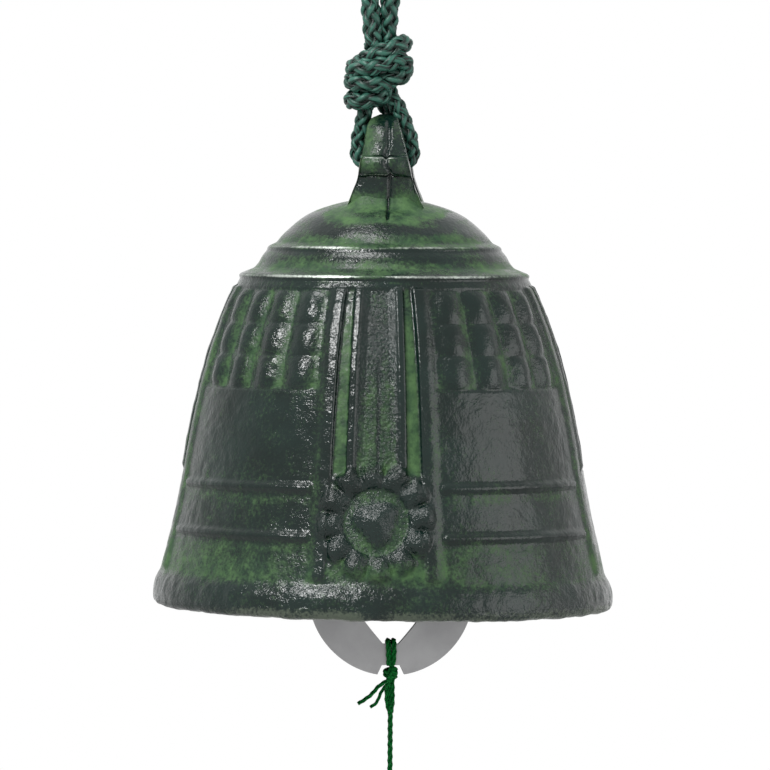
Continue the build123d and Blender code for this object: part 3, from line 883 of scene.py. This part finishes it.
def bell_crown():
    """The crown arch, from the casting's solid above the dome, with soft edges and a mould seam."""
    cut = rim_level + (dome_top - 1.6) * MM
    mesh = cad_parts["bell_casting"].data.copy()
    mesh.materials.clear()
    mesh.materials.append(iron)
    work = bmesh.new()
    work.from_mesh(mesh)
    bmesh.ops.remove_doubles(work, verts=work.verts, dist=0.001 * MM)
    everything = work.verts[:] + work.edges[:] + work.faces[:]
    bmesh.ops.bisect_plane(
        work, geom=everything, plane_co=(0, 0, cut), plane_no=(0, 0, 1), clear_inner=True, dist=0.0001 * MM
    )
    bmesh.ops.holes_fill(work, edges=[edge for edge in work.edges if edge.is_boundary])
    work.to_mesh(mesh)
    work.free()
    piece = bpy.data.objects.new("bell_crown", mesh)
    bpy.context.scene.collection.objects.link(piece)
    remesh = piece.modifiers.new("remesh", "REMESH")
    remesh.mode = "VOXEL"
    remesh.voxel_size = crown_voxel
    smooth = piece.modifiers.new("smooth", "SMOOTH")
    smooth.iterations = 8
    graph = bpy.context.evaluated_depsgraph_get()
    final = bpy.data.meshes.new_from_object(piece.evaluated_get(graph))
    piece.modifiers.clear()
    piece.data = final
    points = np.array([vertex.co[:] for vertex in final.vertices])
    normals = np.array([vertex.normal[:] for vertex in final.vertices])
    local = points / MM - np.array((0, 0, rim_level / MM))
    lumps = lattice_noise(local, 2.4, 31) * 0.12 + lattice_noise(local, 1.0, 32) * 0.06
    front = ease(np.abs(local[:, 1]), 2.5, 4.5)
    wander = 0.55 + 0.35 * lattice_noise(local * np.array((0, 0, 1)), 1.6, 33)
    seam = np.exp(-(((local[:, 0] - wander) / 0.28) ** 2)) * front
    half_width = np.interp(local[:, 2], crown_levels, crown_half_widths)
    across = np.clip(np.abs(local[:, 0]) / half_width, 0, 1)
    facing = ease(np.abs(normals[:, 1]), 0.2, 0.7)
    points = points + normals * ((lumps - seam_depth * seam) * MM)[:, None]
    knuckle = np.clip(np.abs(local[:, 1]) - crown_front, 0, None) * (1 - knuckle_share)
    points[:, 1] += np.sign(local[:, 1]) * (front * facing * crown_bulge * (0.5 - across**2) - knuckle) * MM
    points[:, 2] += crown_lift * ease(local[:, 2], 75.0, 79.0) * MM
    widening = np.interp(local[:, 2], crown_levels, crown_widening)
    points[:, 0] *= 1 + (widening - 1) * ease(np.abs(local[:, 1]), 1.5, 3.0)
    points[:, 0] += np.interp(local[:, 2], crown_levels, crown_lean) * MM
    final.vertices.foreach_set("co", points.ravel())
    final.update()
    final.shade_smooth()
    broad = lattice_noise(local, 5.0, 34)
    left = ease(-local[:, 0], 0.2, 2.2) * ease(local[:, 2], 69.0, 72.0)
    low = ease(-local[:, 2], -68.6, -66.4)
    top = ease(local[:, 2], 74.5, 77.5)
    patina_and_shade = 0.14 + 0.5 * left + 0.2 * top + 0.2 * broad + 0.5 * low - 0.9 * seam
    # Painted highlights: bright lines along the knuckle's top and bottom edges on the front faces.
    edges = sum(np.exp(-(((local[:, 2] - level) / 0.2) ** 2)) for level in knuckle_edges)
    edges = edges * front * facing * (1 - ease(local[:, 0], 1.0, 3.0)) * (0.55 + 0.25 * broad)
    set_attribute(piece, "patina_and_shade", patina_and_shade)
    set_attribute(piece, "wear", np.zeros(len(points)))
    set_attribute(piece, "coarse", np.full(len(points), 0.15))
    set_attribute(piece, "painted_highlight", edges)
    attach(piece, "bell")
    return piece


# Routes of the cord, as in the solids, in millimetres
loop_route = [
    (-1.8, -0.9, -36.8),
    (-2.65, -0.2, -29.5),
    (-2.9, 0, -19.5),
    (-5.4, 0, -11.0),
    (-5.4, 0, 1.4),
    (5.4, 0, 1.4),
    (5.4, 0, -11.0),
    (2.2, 0, -19.5),
    (0.5, 0.2, -29.5),
    (0.2, 0.9, -36.8),
]
bight_route = [
    (-2.9, 0, -43.5),
    (-3.3, 0, -48.0),
    (-4.4, 0, -52.0),
    (-4.3, 0, -55.7),
    (0, 0, -55.2),
    (4.3, 0, -55.7),
    (4.4, 0, -52.5),
    (3.15, 0, -49.0),
    (2.2, 0, -46.6),
    (0.8, 0, -44.6),
    (-0.2, 0, -42.0),
]
# Turns of the knot: three level turns at the left, an upper turn and a bend at the right, a core and a short end
knot_routes = [
    [(1.5, 1.5, -39.4), (-2.8, 2.4, -38.8), (-5.4, 0.6, -39.9), (-4.6, -2.6, -40.4), (-1.4, -3.6, -40.0),
     (1.0, -3.2, -39.1), (2.7, -2.4, -38.5), (3.5, -1.0, -39.8), (2.9, -1.2, -41.4), (1.1, -2.4, -41.8),
     (-0.6, -1.6, -42.2)],
    [(0.8, 2.2, -42.0), (-2.8, 2.7, -42.0), (-5.8, 0.4, -42.1), (-4.7, -2.8, -42.7), (-1.4, -3.5, -42.7),
     (0.4, -1.6, -42.6)],
    [(-0.2, 2.0, -44.6), (-3.2, 2.4, -44.7), (-5.8, 0.2, -45.2), (-4.7, -2.4, -45.6), (-1.9, -2.9, -45.2),
     (-0.2, -1.0, -44.4)],
    [(-1.6, 2.4, -36.9), (1.0, 2.9, -36.3), (2.9, 1.6, -36.0), (3.0, -1.2, -36.2), (1.3, -2.8, -36.8),
     (-0.9, -3.2, -37.7), (-3.4, -2.4, -38.9)],
    [(-3.0, 2.9, -40.6), (-1.0, 3.4, -40.6), (1.4, 3.2, -40.0), (2.8, 1.9, -39.8), (2.6, 0.0, -40.2)],
    [(-2.0, 0.0, -36.0), (-1.5, 0.0, -39.5), (-1.2, 0.0, -42.5), (-1.4, 0.0, -45.4)],
    [(-1.6, 2.0, -44.0), (-0.8, 2.4, -45.4), (0.3, 2.7, -46.3), (1.5, 2.4, -47.0), (2.8, 1.2, -48.4)],
]


def cord_piece(name, route, node, scale):
    line = route_line(name, route)
    points, faces = braided(line, scale)
    piece = add_mesh(name, points, faces, cord_look, "hanging_cord")
    set_attribute(piece, "fibre_shade", braid_fibre_shade(line, scale))
    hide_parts(node)
    return piece


def hanging_cord():
    cord_piece("hanging_loop_braid", loop_route, "hanging_loop", loop_scale)
    cord_piece("crown_bight_braid", bight_route, "crown_bight", bight_scale)
    lines = [route_line("knot", route) for route in knot_routes]
    points, faces = joined([braided(line) for line in lines])
    piece = add_mesh("crown_knot_braid", points, faces, cord_look, "hanging_cord")
    set_attribute(piece, "fibre_shade", np.concatenate([braid_fibre_shade(line) for line in lines]))
    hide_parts("crown_knot")


# Threads, with heights in millimetres below the origin


def middle_of(node):
    low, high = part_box(node)
    return (low + high) / 2


def thread_piece(name, node, body, line_parts):
    points, faces = joined(line_parts)
    piece = add_mesh(name, points, faces, thread_look, body)
    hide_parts(node)
    return piece


def upright_line(node):
    low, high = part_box(node)
    x = hang_x
    return [(x / MM, 0, high.z / MM), (x / MM, 0.001, (low.z * 0.3 + high.z * 0.7) / MM),
            (x / MM, 0, (low.z * 0.7 + high.z * 0.3) / MM), (x / MM, 0, low.z / MM)]


def knot_lines(centre, radius):
    """Routes of a tight thread knot about a point, in millimetres."""
    r = radius / MM - 0.42
    c = np.array(centre) / MM
    turns = []
    for step in range(15):
        angle = step * math.pi / 3
        rise = r * 0.75 - step * r * 1.5 / 14
        reach = r * math.sqrt(max(1 - (rise / r) ** 2 * 0.55, 0.1))
        turns.append(c + np.array((reach * math.sin(angle), -reach * math.cos(angle), rise)))
    over = []
    for step in range(9):
        angle = math.radians(-120 + step * 30)
        sideways = r * 0.25 * math.sin(angle * 0.5)
        forward = -r * math.cos(angle * 0.8) * 1.02
        over.append(c + np.array((sideways, forward, r * math.sin(angle) * 0.95)))
    return [turns, over]


def thread_knot(name, node, body, centre, radius):
    lines = [twisted(route_line(name, route)) for route in knot_lines(centre, radius)]
    return thread_piece(name, node, body, lines)


def tie_lines(node, low_first, turn=0.0):
    """Two strands side by side round an edge; low_first when the arch opens downwards."""
    low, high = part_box(node)
    half = thread_diameter / 2
    back = ((high.y - low.y) / 2 - half) / math.cos(turn) / MM
    front = -back
    top, bottom = (high.z - half) / MM, (low.z + half) / MM
    bend, ends = (top, low.z / MM) if low_first else (bottom, high.z / MM)
    lines = []
    for side in (-0.45, 0.45):
        middle = ends * 0.6 + bend * 0.4
        route = [
            (side * 0.7, front * 0.7, ends),
            (side, front, middle),
            (side, front, bend),
            (side, back, bend),
            (side, back, middle),
            (side * 0.7, back * 0.7, ends),
        ]
        turned = [
            (
                hang_x / MM + x * math.cos(turn) - y * math.sin(turn),
                x * math.sin(turn) + y * math.cos(turn),
                z,
            )
            for x, y, z in route
        ]
        lines.append(twisted(route_line(node, turned)))
    return lines


small_knot_radius = 1.1 * MM
knot_radius = 1.4 * MM
wind_knot_lift = 0.25 * MM
tail_routes = (
    [(-0.2, -0.4, -0.9), (-1.1, -0.9, -1.35), (-2.1, -1.4, -2.1), (-2.7, -1.6, -2.9), (-3.6, -1.8, -3.75),
     (-5.2, -2.0, -4.75)],
    [(-0.3, 0.4, -1.4), (-1.2, 0.6, -2.4), (-1.7, 0.6, -3.4), (-2.1, 0.5, -4.5), (-2.6, 0.4, -5.1),
     (-3.3, 0.4, -5.5)],
)
tail_scales = (0.78, 0.66)
# Two strands side by side below the wind knot, down to where the single thread begins
bundle_routes = (
    [(-0.3, -0.2, -0.6), (-0.5, -0.15, -1.8), (-0.56, 0.0, -3.4), (-0.5, 0.05, -4.9), (-0.05, 0.0, -6.3)],
    [(0.25, 0.2, -0.6), (0.28, 0.1, -1.8), (0.3, 0.0, -3.4), (0.32, -0.05, -4.9), (0.05, 0.0, -6.3)],
)


def straight_thread(name, node, body):
    line = route_line(name, upright_line(node))
    piece = thread_piece(name, node, body, [twisted(line)])
    return piece


def threads():
    staple = middle_of("staple_loop")
    ring_radius = (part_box("staple_loop")[1].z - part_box("staple_loop")[0].z) / 2 - thread_diameter / 2
    ring = []
    for step in range(9):
        angle = step * math.pi / 4
        place = Vector((0.1 * MM * step / 8, ring_radius * math.sin(angle), ring_radius * math.cos(angle)))
        ring.append(tuple((staple + place) / MM))
    thread_piece("staple_loop_thread", "staple_loop", "bell", [twisted(route_line("ring", ring))])
    thread_knot("upper_knot_thread", "upper_knot", "thread_top", middle_of("upper_knot"), small_knot_radius)
    straight_thread("clapper_thread_twist", "clapper_thread", "clapper_line")

    plate_knot = Vector((hang_x, 0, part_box("plate_tie")[1].z - knot_radius))
    lines = tie_lines("plate_tie", False, plate_turn)
    lines += [twisted(route_line("plate_knot", route)) for route in knot_lines(plate_knot, knot_radius)]
    thread_piece("plate_tie_thread", "plate_tie", "clapper", lines)
    thread_piece("wind_tie_thread", "wind_tie", "clapper", tie_lines("wind_tie", True, plate_turn))
    wind_knot = middle_of("wind_knot")
    lifted = wind_knot + Vector((0, 0, wind_knot_lift))
    thread_knot("wind_knot_thread", "wind_knot", "wind_knot", lifted, knot_radius)

    origin = np.array(wind_knot) / MM
    tails = []
    for route, scale in zip(tail_routes + bundle_routes, tail_scales + (1.0, 1.0)):
        tails.append(twisted(route_line("tail", [tuple(origin + np.array(p)) for p in route]), scale))
    points, faces = joined(tails)
    tail_piece = add_mesh("wind_thread_tails", points, faces, thread_look, "wind_line")
    straight_thread("wind_thread_twist", "wind_thread", "wind_line")
    thread_knot("strip_knot_thread", "strip_knot", "strip_top", middle_of("strip_knot"), small_knot_radius)
    thread_piece("strip_tie_thread", "strip_tie", "strip", tie_lines("strip_tie", False))


# Clapper, staple and strip
strip_thickness = 0.3 * MM


def clapper_plate():
    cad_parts["clapper_plate"].data.materials.clear()
    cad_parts["clapper_plate"].data.materials.append(plate_steel)
    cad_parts["clapper_staple"].data.materials.clear()
    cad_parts["clapper_staple"].data.materials.append(wire_steel)


def wind_strip():
    low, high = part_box("wind_strip")
    width, length = high.x - low.x, high.z - low.z
    across, down = 48, 104
    hole = Vector((hang_x, 0, high.z - 5.0 * MM))
    hole_radius = 1.5 * MM
    points, faces = [], []
    for row in range(down + 1):
        for column in range(across + 1):
            x = low.x + width * column / across
            z = high.z - length * row / down
            bow = 0.9 * MM * math.sin(math.pi * row / down) * math.cos(math.pi * (column / across - 0.5))
            points.append((x, -bow, z))
    for row in range(down):
        for column in range(across):
            first = row * (across + 1) + column
            faces.append((first, first + across + 1, first + across + 2, first + 1))
    piece = add_mesh("wind_strip_paper", points, faces, paper, "strip")
    work = bmesh.new()
    work.from_mesh(piece.data)
    inside = [
        face for face in work.faces
        if math.hypot(face.calc_center_median().x - hole.x, face.calc_center_median().z - hole.z) < hole_radius
    ]
    bmesh.ops.delete(work, geom=inside, context="FACES")
    for vertex in work.verts:
        offset = Vector((vertex.co.x - hole.x, 0, vertex.co.z - hole.z))
        if vertex.is_boundary and offset.length < 2 * hole_radius:
            offset *= hole_radius / offset.length
            vertex.co.x, vertex.co.z = hole.x + offset.x, hole.z + offset.z
    work.to_mesh(piece.data)
    work.free()
    thick = piece.modifiers.new("thickness", "SOLIDIFY")
    thick.thickness = strip_thickness
    thick.offset = 0
    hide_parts("wind_strip")


# Stage and light


def add_stage():
    floor_level = cad_box[0][2] - 0.02
    floor_radius = 1.1
    points = []
    for step in range(64):
        angle = step * math.pi / 32
        points.append((floor_radius * math.cos(angle), floor_radius * math.sin(angle), floor_level))
    mesh = bpy.data.meshes.new("floor")
    mesh.from_pydata(points, [], [tuple(range(64))])
    floor = bpy.data.objects.new("floor", mesh)
    bpy.context.scene.collection.objects.link(floor)
    mesh.materials.append(stage_material("floor_paper", (0.82, 0.82, 0.82)))


def area_light(name, place, target, width, height, power):
    data = bpy.data.lights.new(name, "AREA")
    data.shape = "RECTANGLE"
    data.size = width
    data.size_y = height
    data.energy = power
    lamp = bpy.data.objects.new(name, data)
    bpy.context.scene.collection.objects.link(lamp)
    lamp.location = place
    lamp.rotation_euler = (Vector(target) - Vector(place)).to_track_quat("-Z", "Y").to_euler()


def add_light():
    target = (0, 0, rim_level + 0.035)
    area_light("key", (-0.59, -0.81, 0.72), target, 0.5, 0.18, 14.0)
    area_light("fill", (1.0, -0.35, -0.05), target, 0.8, 1.0, 5.4)
    area_light("top", (-0.24, -0.2, 0.93), target, 0.5, 0.3, 6.0)
    world = bpy.data.worlds.new("studio")
    bpy.context.scene.world = world
    world.use_nodes = True
    nodes, links = world.node_tree.nodes, world.node_tree.links
    background = nodes["Background"]
    background.inputs["Color"].default_value = (1, 1, 1, 1)
    rays = nodes.new("ShaderNodeLightPath")
    seen = maths(nodes, links, "MAXIMUM", rays.outputs["Is Camera Ray"], rays.outputs["Is Glossy Ray"])
    seen = maths(nodes, links, "MAXIMUM", seen, rays.outputs["Is Transmission Ray"])
    links.new(maths(nodes, links, "MULTIPLY_ADD", seen, 0.82, 0.18), background.inputs["Strength"])


add_camera()
hanging_cord()
threads()
bell_body()
bell_crown()
clapper_plate()
wind_strip()
add_stage()
add_light()
bpy.context.scene.view_settings.view_transform = "Standard"
